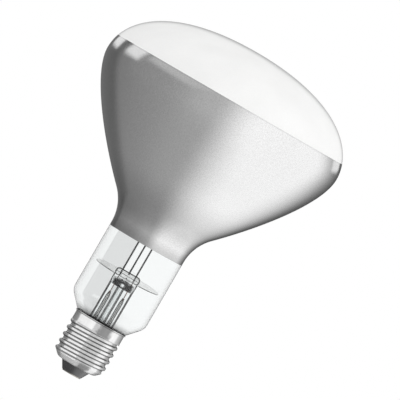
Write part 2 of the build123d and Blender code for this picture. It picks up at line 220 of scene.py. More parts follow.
class LampStageSettings(bpy.types.PropertyGroup):
    """Floor, light and camera."""

    floor_drop: length("Floor drop", "How far the floor lies below the lamp", 50.0)
    floor_radius: length("Floor radius", "Radius of the round floor", 380.0)
    distance: length("Camera distance", "Distance from the lamp to the camera", 3500.0)
    aim_x: length("Aim across", "Point that the camera looks at, across the lamp", 11.5)
    aim_z: length("Aim height", "Point that the camera looks at, up the lamp", 101.8)
    eye_z: length("Eye height", "Height of the camera on the lamp's axis", 160.0)
    view_width: length("View width", "Width of the view at the lamp", 188.9)
    lean: angle("Lean", "Lean of the lamp in the picture", 30.1)


# Outlines


def fillet(before, corner, after, radius):
    """The two ends and two handles of the round at a corner."""
    way_in = (corner - before).normalized()
    way_out = (after - corner).normalized()
    turn = way_in.angle(way_out)
    run = radius * tan(turn / 2)
    handle = 4 / 3 * tan(turn / 4) * radius
    start = corner - way_in * run
    end = corner + way_out * run
    return start, start + way_in * handle, end - way_out * handle, end


def curve(knots, count):
    """Points along one cubic stretch of an outline."""
    return interpolate_bezier(*knots, count)


def straight(start, end, count):
    """Points along a straight stretch, without its start."""
    return [start.lerp(end, n / count) for n in range(1, count + 1)]


def point(radius, height):
    """A point of an outline in the XZ plane."""
    return Vector((radius, 0.0, height))


def bulb_outline(glass, depth):
    """Outline of the bulb from the spigot to the front, at a depth in the glass."""
    slope = glass.shoulder_angle
    spigot_r = glass.spigot_diameter / 2 - depth
    neck_r = glass.neck_diameter / 2 - depth
    ring_r = glass.diameter / 2 - depth
    mouth_r = glass.mouth_diameter / 2 - depth / cos(slope)
    front_z = glass.front_z - depth
    spigot_foot = point(spigot_r, glass.seal_z)
    shoulder_start = point(spigot_r, glass.rim_z - (mouth_r - spigot_r) / tan(slope))
    shoulder_end = point(neck_r, glass.rim_z + (neck_r - mouth_r) / tan(slope))
    neck_top = point(neck_r, glass.throat_z)

    turn = glass.throat_angle
    radius = glass.throat_radius + depth
    handle = 4 / 3 * tan(turn / 4) * radius
    throat_out = Vector((sin(turn), 0.0, cos(turn)))
    throat_end = neck_top + point(radius * (1 - cos(turn)), radius * sin(turn))
    ring = point(ring_r, glass.ring_z)

    points = [spigot_foot]
    spigot_round = fillet(spigot_foot, shoulder_start, shoulder_end, glass.spigot_blend + depth)
    neck_foot = fillet(shoulder_start, shoulder_end, neck_top, glass.foot_radius - depth)
    throat = (neck_top, neck_top + point(0, handle), throat_end - throat_out * handle, throat_end)
    flank = (
        throat_end,
        throat_end + throat_out * glass.flank_throat_handle,
        point(ring_r, glass.ring_z - glass.flank_edge_handle),
        ring,
    )
    dome = (
        ring,
        point(ring_r, glass.ring_z + glass.dome_edge_handle),
        point(glass.dome_front_handle, front_z),
        point(0, front_z),
    )
    points += curve(spigot_round, count=8)
    points += curve(neck_foot, count=14)
    points += straight(points[-1], neck_top, count=6)
    for knots, count in ((throat, 20), (flank, 36), (dome, 40)):
        points += curve(knots, count)[1:]
    return points


def between(points, low, high):
    """The stretch of a rising outline between two heights, cut exactly there."""
    kept = []
    for start, end in zip(points, points[1:]):
        for height in (low, high):
            if start.z < height < end.z:
                kept.append(start.lerp(end, (height - start.z) / (end.z - start.z)))
        if low <= end.z <= high:
            kept.append(end)
    if low <= points[0].z:
        kept.insert(0, points[0])
    return sorted(kept, key=lambda p: p.z)


# Meshes


def draw_outline(bm, points, closed):
    """Put an outline into a mesh as a chain of edges."""
    verts = [bm.verts.new(p) for p in points]
    for start, end in zip(verts, verts[1:]):
        bm.edges.new((start, end))
    if closed:
        bm.edges.new((verts[-1], verts[0]))


def spin_round(bm, steps):
    """Turn an outline once round the lamp's axis into a closed skin."""
    bmesh.ops.spin(
        bm,
        geom=bm.verts[:] + bm.edges[:],
        cent=(0, 0, 0),
        axis=(0, 0, 1),
        angle=2 * pi,
        steps=steps,
        use_merge=True,
    )
    bmesh.ops.remove_doubles(bm, verts=bm.verts[:], dist=MERGE_DISTANCE)
    bmesh.ops.recalc_face_normals(bm, faces=bm.faces[:])


def make_piece(name, bm, material, slot, *replaced):
    """Turn a mesh into a smooth piece of the lamp that stands for the named solids."""
    for face in bm.faces:
        face.smooth = True
    for edge in bm.edges:
        edge.smooth = edge.calc_face_angle(0.0) < SHARP_ANGLE
    mesh = bpy.data.meshes.new(name)
    bm.to_mesh(mesh)
    bm.free()
    piece = bpy.data.objects.new(name, mesh)
    bpy.context.scene.collection.objects.link(piece)
    mesh.materials.append(material)
    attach(piece, "root")
    if replaced:
        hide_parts(*replaced)
    return piece


# Shader groups


def new_group(name, inputs, outputs):
    """An empty shader group with named number inputs and outputs."""
    group = bpy.data.node_groups.new(name, "ShaderNodeTree")
    for label, default in inputs:
        socket = group.interface.new_socket(label, in_out="INPUT", socket_type="NodeSocketFloat")
        socket.default_value = default
    for label in outputs:
        group.interface.new_socket(label, in_out="OUTPUT", socket_type="NodeSocketFloat")
    return group, group.nodes.new("NodeGroupInput"), group.nodes.new("NodeGroupOutput")


def fine_mottle():
    """Soft uneven patches with a fine grain in them, as a mask from 0 to 1."""
    group = bpy.data.node_groups.get("fine_mottle")
    if group:
        return group
    group, given, result = new_group(
        "fine_mottle",
        inputs=(("Scale", 400.0), ("Grain Scale", 6000.0), ("Grain", 0.3)),
        outputs=("Mask", "Grain"),
    )
    nodes, links = group.nodes, group.links
    place = nodes.new("ShaderNodeTexCoord")
    patches = nodes.new("ShaderNodeTexNoise")
    patches.inputs["Detail"].default_value = 3.0
    grain = nodes.new("ShaderNodeTexNoise")
    grain.inputs["Detail"].default_value = 2.0
    blend = nodes.new("ShaderNodeMix")
    links.new(given.outputs["Grain"], blend.inputs["Factor"])
    for noise, scale, side in ((patches, "Scale", "A"), (grain, "Grain Scale", "B")):
        stretch = nodes.new("ShaderNodeMapRange")
        stretch.inputs["From Min"].default_value = 0.3
        stretch.inputs["From Max"].default_value = 0.7
        links.new(place.outputs["Object"], noise.inputs["Vector"])
        links.new(given.outputs[scale], noise.inputs["Scale"])
        links.new(noise.outputs["Fac"], stretch.inputs["Value"])
        links.new(stretch.outputs["Result"], blend.inputs[side])
    links.new(stretch.outputs["Result"], result.inputs["Grain"])
    links.new(blend.outputs["Result"], result.inputs["Mask"])
    return group


def spun_lines():
    """Fine lines round the lamp's axis, as left by spinning or rolling metal."""
    group = bpy.data.node_groups.get("spun_lines")
    if group:
        return group
    group, given, result = new_group(
        "spun_lines", inputs=(("Scale", 4000.0), ("Waver", 60.0)), outputs=("Lines",)
    )
    nodes, links = group.nodes, group.links
    place = nodes.new("ShaderNodeTexCoord")
    split = nodes.new("ShaderNodeSeparateXYZ")
    join = nodes.new("ShaderNodeCombineXYZ")
    lines = nodes.new("ShaderNodeTexNoise")
    lines.inputs["Scale"].default_value = 1.0
    lines.inputs["Detail"].default_value = 4.0
    links.new(place.outputs["Object"], split.inputs["Vector"])
    for axis, scale in (("X", "Waver"), ("Y", "Waver"), ("Z", "Scale")):
        stretch = nodes.new("ShaderNodeMath")
        stretch.operation = "MULTIPLY"
        links.new(split.outputs[axis], stretch.inputs[0])
        links.new(given.outputs[scale], stretch.inputs[1])
        links.new(stretch.outputs["Value"], join.inputs[axis])
    links.new(join.outputs["Vector"], lines.inputs["Vector"])
    links.new(lines.outputs["Fac"], result.inputs["Lines"])
    return group


# Node trees


class Shading:
    """A node tree, with the few steps that the finishes and the room are put together from."""

    def __init__(self, tree):
        self.nodes = tree.nodes
        self.links = tree.links

    def feed(self, socket, value):
        """Set a socket to a number, or link an output to it."""
        if isinstance(value, (int, float)):
            socket.default_value = value
        else:
            self.links.new(value, socket)

    def split(self, label):
        """The X, Y and Z of a place or a direction."""
        place = self.nodes.new("ShaderNodeTexCoord")
        parts = self.nodes.new("ShaderNodeSeparateXYZ")
        self.links.new(place.outputs[label], parts.inputs["Vector"])
        return parts.outputs

    def maths(self, operation, first, second=0.0):
        """One step of arithmetic on outputs and numbers."""
        step = self.nodes.new("ShaderNodeMath")
        step.operation = operation
        self.feed(step.inputs[0], first)
        self.feed(step.inputs[1], second)
        return step.outputs["Value"]

    def product(self, first, *others):
        """All of the given values multiplied together."""
        for other in others:
            first = self.maths("MULTIPLY", first, other)
        return first

    def squares(self, first, second):
        """The sum of two squares."""
        return self.maths("ADD", self.maths("POWER", first, 2), self.maths("POWER", second, 2))

    def fade(self, value, start, end, first=0.0, last=1.0):
        """A smooth change from a first to a last value while another one goes from start to end."""
        ramp = self.nodes.new("ShaderNodeMapRange")
        ramp.interpolation_type = "SMOOTHSTEP"
        ramp.inputs["From Min"].default_value = start
        ramp.inputs["From Max"].default_value = end
        ramp.inputs["To Min"].default_value = first
        ramp.inputs["To Max"].default_value = last
        self.links.new(value, ramp.inputs["Value"])
        return ramp.outputs["Result"]

    def choose(self, factor, other, shown):
        """One value where a factor is 0, and another where it is 1."""
        mix = self.nodes.new("ShaderNodeMix")
        self.links.new(factor, mix.inputs["Factor"])
        self.feed(mix.inputs["A"], other)
        self.feed(mix.inputs["B"], shown)
        return mix.outputs["Result"]


class Finish(Shading):
    """One material with its Principled shader, and the ways in which the finishes vary it."""

    def __init__(self, name, **sockets):
        self.material = bpy.data.materials.new(name)
        self.material.use_nodes = True
        super().__init__(self.material.node_tree)
        self.shader = self.nodes["Principled BSDF"]
        for label, value in sockets.items():
            socket = label.replace("_", " ").title().replace("Ior", "IOR")
            self.shader.inputs[socket].default_value = value

    def group(self, tree, **values):
        """Place a shader group with its own values."""
        node = self.nodes.new("ShaderNodeGroup")
        node.node_tree = tree
        for label, value in values.items():
            node.inputs[label.replace("_", " ").title()].default_value = value
        return node.outputs

    def tones(self, mask, colour, dark, light):
        """Vary the colour between a darker and a lighter tone of it."""
        mix = self.nodes.new("ShaderNodeMix")
        mix.data_type = "RGBA"
        mix.inputs["A"].default_value = (*(c * dark for c in colour), 1.0)
        mix.inputs["B"].default_value = (*(min(1.0, c * light) for c in colour), 1.0)
        self.links.new(mask, mix.inputs["Factor"])
        self.links.new(mix.outputs["Result"], self.shader.inputs["Base Color"])
        return mix

    def shade(self, mix, factor, colour):
        """Lay a shade over the colour where a factor says so."""
        over = self.nodes.new("ShaderNodeMix")
        over.data_type = "RGBA"
        over.inputs["B"].default_value = (*colour, 1.0)
        self.links.new(factor, over.inputs["Factor"])
        self.links.new(mix.outputs["Result"], over.inputs["A"])
        self.links.new(over.outputs["Result"], self.shader.inputs["Base Color"])
        return over

    def roughness(self, mask, low, high):
        """Vary the roughness between two values."""
        spread = self.nodes.new("ShaderNodeMapRange")
        spread.inputs["To Min"].default_value = low
        spread.inputs["To Max"].default_value = high
        self.links.new(mask, spread.inputs["Value"])
        self.links.new(spread.outputs["Result"], self.shader.inputs["Roughness"])

    def bump(self, mask, depth, strength=1.0):
        """Raise and sink the surface by a mask."""
        bump = self.nodes.new("ShaderNodeBump")
        bump.inputs["Distance"].default_value = depth
        bump.inputs["Strength"].default_value = strength
        self.links.new(mask, bump.inputs["Height"])
        self.links.new(bump.outputs["Normal"], self.shader.inputs["Normal"])

    def edge(self, start, end):
        """How far a glass is seen along its wall, from 0 to 1 between two facings."""
        facing = self.nodes.new("ShaderNodeLayerWeight")
        facing.inputs["Blend"].default_value = 0.5
        return self.fade(facing.outputs["Facing"], start, end)

    def dark_edge(self, mix, grey, start, end):
        """Paint shade into a glass's colour where it is seen along its wall."""
        return self.shade(mix, self.edge(start, end), (grey, grey, grey))

    def out_from_axis(self, place):
        """Distance of a place from the lamp's axis."""
        return self.maths("SQRT", self.squares(place["X"], place["Y"]))


# Finishes


def frosted_glass(colours):
    """White frosted glass with a smooth outer face."""
    finish = Finish(
        "frosted_glass",
        metallic=0.0,
        transmission_weight=0.1,
        coat_weight=0.08,
        coat_roughness=0.03,
        specular_ior_level=0.08,
    )
    mottle = finish.group(fine_mottle(), scale=60.0, grain_scale=2500.0, grain=0.5)
    mix = finish.tones(mottle["Mask"], colours.frost, dark=0.955, light=1.03)
    # Painted shade: the dome's colour darkens towards its outline, where the wall is seen edge-on.
    finish.dark_edge(mix, grey=0.45, start=0.82, end=0.98)
    finish.roughness(mottle["Grain"], low=0.48, high=0.62)
    finish.bump(mottle["Grain"], depth=0.03 * MM)
    return finish.material


def silvered_glass(colours, glass):
    """Satin silvering seen through a glossy glass wall, with painted shade in the throat where it mirrors
    the dark neck, and dimmer along its two edges.
    """
    finish = Finish("silvered_glass", metallic=1.0, coat_weight=1.0, coat_roughness=0.02)
    mottle = finish.group(fine_mottle(), scale=90.0, grain_scale=1800.0, grain=0.9)
    mix = finish.tones(mottle["Mask"], colours.silver, dark=0.89, light=1.08)
    height = finish.split("Object")["Z"]
    low, high = glass.mirror_bottom_z, glass.mirror_top_z
    # Painted shade in the throat, standing for the dark neck and cap that the concave throat mirrors.
    painted_throat_shade = finish.fade(height, low + 3 * MM, low + 14 * MM, 0.0, 0.28)
    throat_shade_end = finish.fade(height, low + 17 * MM, low + 34 * MM, 1.0, 0.0)
    lower_edge = finish.fade(height, low, low + 7.5 * MM, 0.33, 0.0)
    upper_edge = finish.fade(height, high - 0.8 * MM, high - 0.3 * MM, 0.0, 0.15)
    edges = finish.maths("MAXIMUM", lower_edge, upper_edge)
    finish.shade(mix, finish.maths("MAXIMUM", finish.product(painted_throat_shade, throat_shade_end), edges), BLACK)
    finish.roughness(mottle["Grain"], low=0.12, high=0.17)
    finish.bump(mottle["Grain"], depth=0.008 * MM)
    return finish.material


def clear_glass(name, colours, ior):
    """Clear glass with faint drawing waves."""
    finish = Finish(name, metallic=0.0, transmission_weight=1.0, ior=ior, specular_ior_level=0.25)
    mottle = finish.group(fine_mottle(), scale=120.0, grain_scale=900.0, grain=0.2)
    mix = finish.tones(mottle["Mask"], colours.clear, dark=0.99, light=1.0)
    finish.roughness(mottle["Mask"], low=0.0, high=0.006)
    return finish, mix


def neck_glass(colours, rim_z):
    """Clear glass of the neck, with painted dark edges and painted shade on the shoulder just above the
    cap.
    """
    finish, mix = clear_glass("neck_glass", colours, ior=1.5)
    # Painted shade where the neck's wall is seen edge-on.
    mix = finish.dark_edge(mix, grey=0.55, start=0.88, end=0.98)
    height = finish.split("Object")["Z"]
    # Painted shade over the shoulder just above the cap's rim, where the glass mirrors the dark cap.
    painted_rim_shade = finish.fade(height, rim_z + 4 * MM, rim_z - 1 * MM, 0.0, 0.75)
    finish.shade(mix, painted_rim_shade, (0.15, 0.15, 0.15))
    return finish.material


def stem_glass(colours, stem):
    """Clear glass of the stem, with painted shade on its walls and on the start of the press, but not at
    its hole.
    """
    finish, mix = clear_glass("stem_glass", colours, stem.thin_ior)
    place = finish.split("Object")
    skin_end = stem.radius - stem.skin * 2 / 3
    outside = finish.fade(finish.out_from_axis(place), stem.radius - stem.skin, skin_end)
    # Painted shade on the tube's outer skin and the press, where their walls are seen edge-on.
    tube_wall = finish.product(outside, finish.edge(0.44, 0.48))
    band_top, band_end = stem.foot_z + stem.band_top, stem.foot_z + stem.band_end
    press_wall = finish.product(finish.fade(place["Z"], band_top, band_end), finish.edge(0.26, 0.32))
    mix = finish.shade(mix, finish.maths("MAXIMUM", tube_wall, press_wall), BLACK)

    # Painted shade across the foot of the press, streaked by a mottle, standing for the darkness seen
    # through the thick pinched glass.
    rise = finish.fade(place["Z"], stem.foot_z, stem.foot_z + stem.band_rise)
    fall = finish.fade(place["Z"], band_top, band_end, 1.0, 0.0)
    across = finish.maths("DIVIDE", place["X"], stem.hole_width / 2)
    up = finish.maths("DIVIDE", finish.maths("SUBTRACT", place["Z"], stem.hole_z), stem.hole_height / 2)
    round_hole = finish.fade(finish.squares(across, up), 0.9, 1.3)
    swirl = finish.group(fine_mottle(), scale=520.0, grain_scale=1500.0, grain=0.3)
    streaks = finish.fade(swirl["Mask"], 0.15, 0.55, 0.6, 1.0)
    aside = finish.maths("ABSOLUTE", place["X"])
    middle = finish.fade(aside, stem.band_core, stem.band_reach, 1.0, 0.25)
    finish.shade(mix, finish.product(rise, fall, round_hole, streaks, middle), BLACK)
    return finish.material


def thin_glass(name, colours, stem, start, end):
    """Thin drawn tubes, whose walls show as painted dark lines between two facings."""
    finish, mix = clear_glass(name, colours, stem.thin_ior)
    finish.dark_edge(mix, 0.0, start, end)
    return finish.material


def bright_cap(colours, cap):
    """Rolled bright metal with fine lines round the cap, with painted reflections as dark stripes and dark
    sides.

    Painted shade lies on the steep sides of the thread.
    """
    finish = Finish("bright_cap_metal", metallic=0.6)
    mottle = finish.group(fine_mottle(), scale=350.0, grain_scale=4000.0, grain=0.35)
    lines = finish.group(spun_lines(), scale=5000.0, waver=90.0)
    mix = finish.tones(mottle["Mask"], colours.cap_metal, dark=0.90, light=1.10)
    place = finish.split("Object")
    above_heel = finish.fade(place["Z"], cap.thread_z - 1 * MM, cap.thread_z)
    below_collar = finish.fade(place["Z"], cap.thread_top_z, cap.collar_z, 1.0, 0.0)

    slope = finish.maths("ABSOLUTE", finish.split("Normal")["Z"])
    # Painted shade on the thread's steep flanks, standing for the dark surroundings that they mirror.
    painted_flank_shade = finish.product(finish.fade(slope, 0.45, 0.80, 0.0, 0.80), above_heel)
    mix = finish.shade(mix, painted_flank_shade, (0.08, 0.08, 0.08))

    # Painted reflections: three dark stripes round the cap, standing for the dark studio that the bright
    # metal mirrors.
    painted_reflection_dark = (0.06, 0.06, 0.06)
    reflection_stripes, first_reflection_stripe = 3, radians(17.0)
    round_cap = finish.maths("ARCTAN2", place["X"], finish.maths("MULTIPLY", place["Y"], -1))
    turned = finish.maths("SUBTRACT", round_cap, first_reflection_stripe)
    wave = finish.maths("COSINE", finish.maths("MULTIPLY", turned, reflection_stripes))
    wave = finish.maths("ADD", wave, finish.maths("MULTIPLY", mottle["Mask"], 0.5))
    depth = finish.fade(finish.product(above_heel, below_collar), 0.0, 1.0, 0.75, 0.35)
    mix = finish.shade(mix, finish.product(finish.fade(wave, 0.75, 1.15), depth), painted_reflection_dark)
    # Painted reflection: the cap's left and right sides are darkened, standing for the dark room mirrored
    # at the cylinder's edges.
    sides = finish.maths("COSINE", finish.maths("MULTIPLY", round_cap, 2))
    finish.shade(mix, finish.fade(sides, -0.15, -0.45, 0.0, 0.45), painted_reflection_dark)
    finish.roughness(mottle["Mask"], low=0.08, high=0.20)
    finish.bump(lines["Lines"], depth=0.005 * MM, strength=0.6)
    return finish.material


def dark_cap_glass(colours):
    """Black-brown cast glass with a slightly wavy gloss."""
    finish = Finish(
        "dark_cap_glass", metallic=0.0, ior=1.7, coat_weight=1.0, coat_roughness=0.05, coat_ior=1.6
    )
    mottle = finish.group(fine_mottle(), scale=500.0, grain_scale=3000.0, grain=0.3)
    finish.tones(mottle["Mask"], colours.cap_glass, dark=0.7, light=1.4)
    finish.roughness(mottle["Mask"], low=0.18, high=0.40)
    finish.bump(mottle["Mask"], depth=0.04 * MM)
    return finish.material


def dull_metal(name, colour, low, high, scale, metallic=1.0, grain_scale=9000.0, dark=0.75, light=1.3):
    """Plain metal with uneven tarnish, between two roughnesses."""
    finish = Finish(name, metallic=metallic)
    mottle = finish.group(fine_mottle(), scale=scale, grain_scale=grain_scale, grain=0.4)
    finish.tones(mottle["Mask"], colour, dark, light)
    finish.roughness(mottle["Mask"], low, high)
    finish.bump(mottle["Grain"], depth=0.01 * MM)
    return finish.material


def mica_sheet(colours, rim_radius):
    """Split mica: smoky flakes with a soft gloss and painted shade on its rim."""
    finish = Finish("mica_sheet", metallic=0.0, transmission_weight=1.0, ior=1.4)
    mottle = finish.group(fine_mottle(), scale=260.0, grain_scale=1800.0, grain=0.45)
    mix = finish.tones(mottle["Mask"], colours.mica, dark=0.85, light=1.10)
    out = finish.out_from_axis(finish.split("Object"))
    # Painted shade: a dark band round the rim, where the disc's edge shows as a dark line.
    rim = finish.fade(out, rim_radius - 0.6 * MM, rim_radius - 0.2 * MM, 0.0, 0.8)
    finish.shade(mix, rim, (0.05, 0.05, 0.05))
    finish.roughness(mottle["Mask"], low=0.0, high=0.06)
    return finish.material


def dry_cement(colours):
    """Rough dry cement with pores."""
    finish = Finish("dry_cement", metallic=0.0)
    mottle = finish.group(fine_mottle(), scale=700.0, grain_scale=5000.0, grain=0.5)
    finish.tones(mottle["Mask"], colours.cement, dark=0.6, light=1.25)
    finish.roughness(mottle["Mask"], low=0.75, high=0.95)
    finish.bump(mottle["Grain"], depth=0.1 * MM)
    return finish.material


def pale_floor(colours):
    """Plain matt floor."""
    finish = Finish("pale_floor", metallic=0.0)
    mottle = finish.group(fine_mottle(), scale=30.0, grain_scale=300.0, grain=0.3)
    finish.tones(mottle["Mask"], colours.floor, dark=0.98, light=1.02)
    finish.roughness(mottle["Mask"], low=0.7, high=0.85)
    return finish.material


# Operators


class LAMP_OT_bulb_glass(bpy.types.Operator):
    """Blow the bulb: clear neck, silvered bowl and frosted dome"""

    bl_idname = "lamp.bulb_glass"
    bl_label = "Bulb Glass"

    def execute(self, context):
        glass = context.scene.lamp_glass
        colours = context.scene.lamp_finish
        outer = bulb_outline(glass, 0.0)
        inner = bulb_outline(glass, glass.wall)
        low, high = glass.mirror_bottom_z, glass.mirror_top_z

        bm = bmesh.new()
        seam_z = low - glass.seam
        wall = between(outer, glass.seal_z, seam_z) + between(inner, glass.seal_z, seam_z)[::-1]
        draw_outline(bm, wall, closed=True)
        spin_round(bm, glass.steps)
        make_piece("clear_neck", bm, neck_glass(colours, glass.rim_z), "clear_glass", "glass_neck")

        bm = bmesh.new()
        wall = between(outer, low, high) + between(inner, low, high)[::-1]
        draw_outline(bm, wall, closed=True)
        spin_round(bm, glass.steps)
        silver = silvered_glass(colours, glass)
        make_piece("silvered_bowl", bm, silver, "mirror_film", "glass_bowl", "reflector_coating")

        bm = bmesh.new()
        wall = between(inner, high, glass.front_z)[::-1] + between(outer, high, glass.front_z)
        draw_outline(bm, wall, closed=False)
        spin_round(bm, glass.steps)
        make_piece("frosted_dome", bm, frosted_glass(colours), "frosted_glass", "glass_dome")
        return {"FINISHED"}


class LAMP_OT_screw_cap(bpy.types.Operator):
    """Roll the screw cap: heel, thread, plain collar and flared lip"""

    bl_idname = "lamp.screw_cap"
    bl_label = "Screw Cap"

    def outline(self, cap):
        """Closed outline of the sheet, from the heel's opening to the rim and back inside.

        A cone at 45 degrees leads from the heel to a plain band, which the thread is pressed into.
        """
        heel_r = cap.root_diameter / 2 - cap.heel_inset
        crest_r = cap.crest_diameter / 2
        collar_r = crest_r - cap.collar_inset
        lip_r = collar_r + cap.lip_flare
        bore = heel_r - cap.sheet
        heel_x = heel_r - cap.heel_radius
        heel_corner = point(heel_x + cap.heel_radius * tan(pi / 8), cap.heel_z)
        lead_in = point(crest_r, cap.heel_z + crest_r - heel_corner.x)

        outline = [point(cap.opening / 2, cap.heel_z)]
        outline += curve(fillet(outline[0], heel_corner, lead_in, cap.heel_radius), count=8)
        outline += straight(outline[-1], lead_in, count=16)
        outline += straight(lead_in, point(crest_r, cap.thread_top_z), count=100)
        outline += straight(outline[-1], point(collar_r, cap.collar_z), count=3)
        outline += straight(outline[-1], point(collar_r, cap.lip_z), count=8)
        flare = (
            outline[-1],
            point(collar_r, cap.lip_z + cap.lip_flare / 2),
            point(lip_r, cap.rim_z - cap.lip_flare),
            point(lip_r, cap.rim_z - cap.sheet / 2),
        )
        outline += curve(flare, count=8)[1:]

        # The rounded rim, in shares of the sheet.
        rim_middle = lip_r - cap.sheet / 2
        for aside, drop in ((0.35, 0.15), (0.0, 0.0), (-0.35, 0.15)):
            outline.append(point(rim_middle + cap.sheet * aside, cap.rim_z - cap.sheet * drop))
        outline += [
            point(lip_r - cap.sheet, cap.rim_z - cap.sheet / 2),
            point(collar_r - cap.sheet, cap.lip_z),
            point(collar_r - cap.sheet, cap.thread_top_z),
            point(bore, cap.thread_top_z),
        ]
        heel_floor_z = cap.heel_z + cap.sheet
        floor_end = point(cap.opening / 2, heel_floor_z)
        inner_round = fillet(outline[-1], point(bore, heel_floor_z), floor_end, cap.heel_radius - cap.sheet)
        outline += curve(inner_round, count=10)
        outline.append(floor_end)
        return outline

    def thread_radius(self, cap, turn, height):
        """Radius of the rolled thread at a share of a turn and a height."""
        root_r = cap.root_diameter / 2
        depth = cap.crest_diameter / 2 - root_r
        rise = (height - cap.thread_z) / cap.thread_pitch + 0.5 - turn
        nearest = round(rise)
        along = nearest + turn
        if along < 0 or along > cap.turns + 0.5:
            return root_r + depth
        away = abs(rise - nearest) * cap.thread_pitch
        floor_half = cap.valley / 2
        crest_half = (cap.thread_pitch - cap.crest_land) / 2
        climb = min(1.0, max(0.0, (away - floor_half) / (crest_half - floor_half)))
        run_out = max(0.0, along - cap.turns) * 2
        return root_r + depth * min(1.0, climb * climb * (3 - 2 * climb) + run_out)

    def execute(self, context):
        cap = context.scene.lamp_cap
        bm = bmesh.new()
        draw_outline(bm, self.outline(cap), closed=True)
        spin_round(bm, cap.steps)
        thread_start = Vector((-1, 0))
        for vert in bm.verts:
            radius = hypot(vert.co.x, vert.co.y)
            if radius > cap.root_diameter / 2 and vert.co.z < cap.thread_top_z - MERGE_DISTANCE:
                turn = thread_start.angle_signed(Vector((vert.co.x, -vert.co.y))) / (2 * pi) % 1.0
                fit = min(radius, self.thread_radius(cap, turn, vert.co.z)) / radius
                vert.co.x *= fit
                vert.co.y *= fit
        make_piece("screw_cap", bm, bright_cap(context.scene.lamp_finish, cap), "cap_metal", "cap_shell")
        return {"FINISHED"}


class LAMP_OT_coil(bpy.types.Operator):
    """Wind the filament: one turn of wire, repeated along the ring of anchors"""

    bl_idname = "lamp.coil"
    bl_label = "Filament Coil"

    def route(self, coil):
        """Line that the coil follows from lead to lead, rounded at each anchor."""
        turn = (2 * pi - 2 * coil.gap) / (coil.anchors + 1)
        start = coil.gap - pi / 2
        first = Vector((coil.ring_radius, 0.0, coil.height))
        corners = [Matrix.Rotation(start + turn * n, 3, "Z") @ first for n in range(coil.anchors + 2)]
        points = [corners[0]]
        for before, corner, after in zip(corners, corners[1:], corners[2:]):
            points += curve(fillet(before, corner, after, coil.bend), count=10)
        return points + [corners[-1]]

    def execute(self, context):
        coil = context.scene.lamp_coil
        join = coil.wire / 100
        points = self.route(coil)
        line = bpy.data.curves.new("coil_route", "CURVE")
        line.dimensions = "3D"
        spline = line.splines.new("POLY")
        spline.points.add(len(points) - 1)
        for knot, place in zip(spline.points, points):
            knot.co = (*place, 1.0)
        route = bpy.data.objects.new("coil_route", line)
        context.scene.collection.objects.link(route)

        bm = bmesh.new()
        middle = Matrix.Translation((0, 0, (coil.diameter - coil.wire) / 2))
        upright = Matrix.Rotation(pi / 2, 4, "X")
        bmesh.ops.create_circle(bm, segments=coil.sides, radius=coil.wire / 2, matrix=middle @ upright)
        bmesh.ops.spin(
            bm,
            geom=bm.verts[:] + bm.edges[:],
            cent=(0, 0, 0),
            axis=(1, 0, 0),
            dvec=(coil.pitch / coil.steps, 0, 0),
            angle=2 * pi,
            steps=coil.steps,
        )
        mesh = bpy.data.meshes.new("coil_turn")
        bm.to_mesh(mesh)
        bm.free()
        one_turn = bpy.data.objects.new("coil_turn", mesh)
        context.scene.collection.objects.link(one_turn)
        row = one_turn.modifiers.new("row", "ARRAY")
        row.count = int(spline.calc_length() / coil.pitch)
        row.use_relative_offset = False
        row.use_constant_offset = True
        row.constant_offset_displace = (coil.pitch, 0, 0)
        row.use_merge_vertices = True
        row.merge_threshold = join
        bend = one_turn.modifiers.new("bend", "CURVE")
        bend.object = route
        wound = bpy.data.meshes.new_from_object(one_turn.evaluated_get(context.evaluated_depsgraph_get()))

        bm = bmesh.new()
        bm.from_mesh(wound)
        bmesh.ops.remove_doubles(bm, verts=bm.verts[:], dist=join)
        bmesh.ops.holes_fill(bm, edges=[edge for edge in bm.edges if edge.is_boundary], sides=0)
        bmesh.ops.recalc_face_normals(bm, faces=bm.faces[:])
        for used in (one_turn, route):
            bpy.data.objects.remove(used)
        tungsten = dull_metal("tungsten_coil", context.scene.lamp_finish.tungsten, 0.45, 0.70, 1500.0)
        make_piece("filament_coil", bm, tungsten, "tungsten", "filament")
        return {"FINISHED"}


class LAMP_OT_inner_finishes(bpy.types.Operator):
    """Give the stem, the wires and the cap's small parts their finishes"""

    bl_idname = "lamp.inner_finishes"
    bl_label = "Inner Finishes"

    def execute(self, context):
        colours = context.scene.lamp_finish
        low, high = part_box("mica_disc")
        mica_radius = (high[0] - low[0]) / 2
        stem = stem_glass(colours, context.scene.lamp_stem)
        tube = thin_glass("tube_glass", colours, context.scene.lamp_stem, start=0.22, end=0.28)
        sleeve = thin_glass("sleeve_glass", colours, context.scene.lamp_stem, start=0.09, end=0.13)
        lead = dull_metal("oxidised_lead", colours.lead, 0.35, 0.60, 900.0, metallic=0.6)
        copper = dull_metal("copper_lead", colours.copper, 0.25, 0.50, 900.0)
        plated = dull_metal("plated_lead", colours.plated, 0.25, 0.50, 900.0, metallic=0.5)
        anchor = dull_metal("anchor_metal", colours.anchor, 0.35, 0.55, 1200.0)
        solder = dull_metal("grey_solder", colours.solder, 0.30, 0.60, 1200.0)
        pressed = {"grain_scale": 6000.0, "dark": 0.8, "light": 1.2}
        contact = dull_metal("contact_metal", colours.contact, 0.25, 0.45, 600.0, **pressed)
        wear = {
            "glass_stem": stem,
            "exhaust_tube": tube,
            "lead_sleeve_left": sleeve,
            "lead_sleeve_right": sleeve,
            "glass_bead": stem,
            "inner_lead_left": lead,
            "inner_lead_right": lead,
            "centre_support": lead,
            "seal_wire_left": copper,
            "seal_wire_right": copper,
            "outer_lead_tip": plated,
            "outer_lead_side": plated,
            "mica_disc": mica_sheet(colours, mica_radius),
            "cap_insulator": dark_cap_glass(colours),
            "centre_contact": contact,
            "tip_solder": solder,
            "side_weld": solder,
            "cap_cement": dry_cement(colours),
        }
        for place in range(1, context.scene.lamp_coil.anchors + 1):
            wear[f"anchor_{place}"] = anchor
        for name, material in wear.items():
            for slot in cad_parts[name].material_slots:
                slot.material = material
        return {"FINISHED"}


